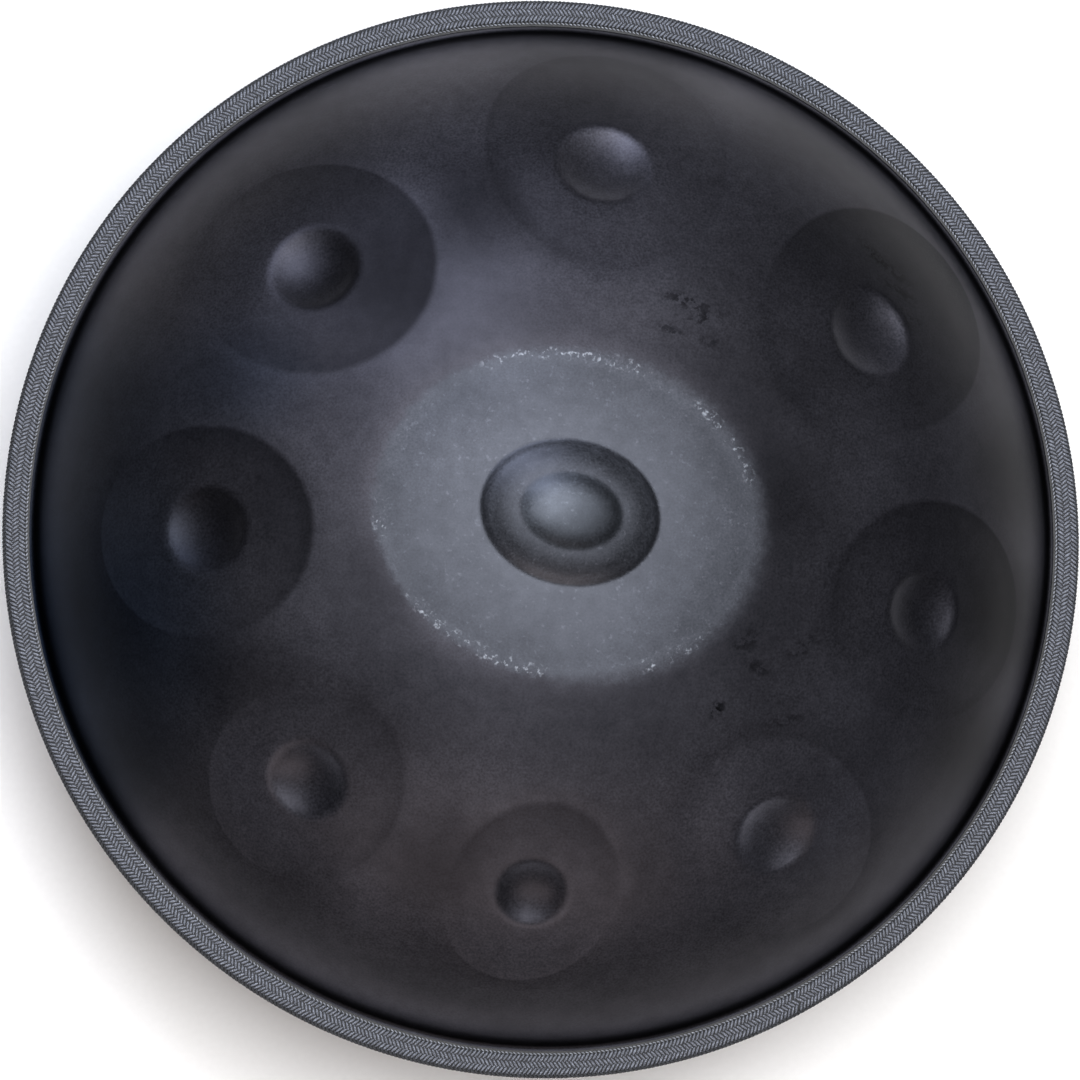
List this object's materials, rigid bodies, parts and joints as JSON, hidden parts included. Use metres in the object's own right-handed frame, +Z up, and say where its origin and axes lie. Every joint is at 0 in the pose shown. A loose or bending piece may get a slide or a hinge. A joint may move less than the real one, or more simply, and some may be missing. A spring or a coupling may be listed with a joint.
{
  "type": "handpan",
  "caption": "Hand-played steel sound vessel: two bonded domed shells, tone fields round a central raised ding, a sound port below and a braided rim trim.",
  "frame": {"origin": "on the instrument's axis, in the plane of the flat land round the sound port that it rests on", "axes": "+Z up through the ding; +Y away from the viewer's side, towards the largest outer tone field; +X to the right seen from above"},
  "size_m": [0.53, 0.5299, 0.243],
  "materials": {
    "upper_steel": "nitrided satin",
    "lower_steel": "nitrided satin",
    "adhesive": "cured epoxy",
    "rubber": "matt moulded rubber",
    "braid": "braided polyester",
    "cord": "twisted polyester"
  },
  "bodies": {
    "root": {"upper_shell": "upper_steel", "lower_shell": "lower_steel", "flange_adhesive": "adhesive", "rim_channel": "rubber", "rim_braid": "braid", "rim_cord_upper": "cord", "rim_cord_lower": "cord"}
  },
  "joints": []
}
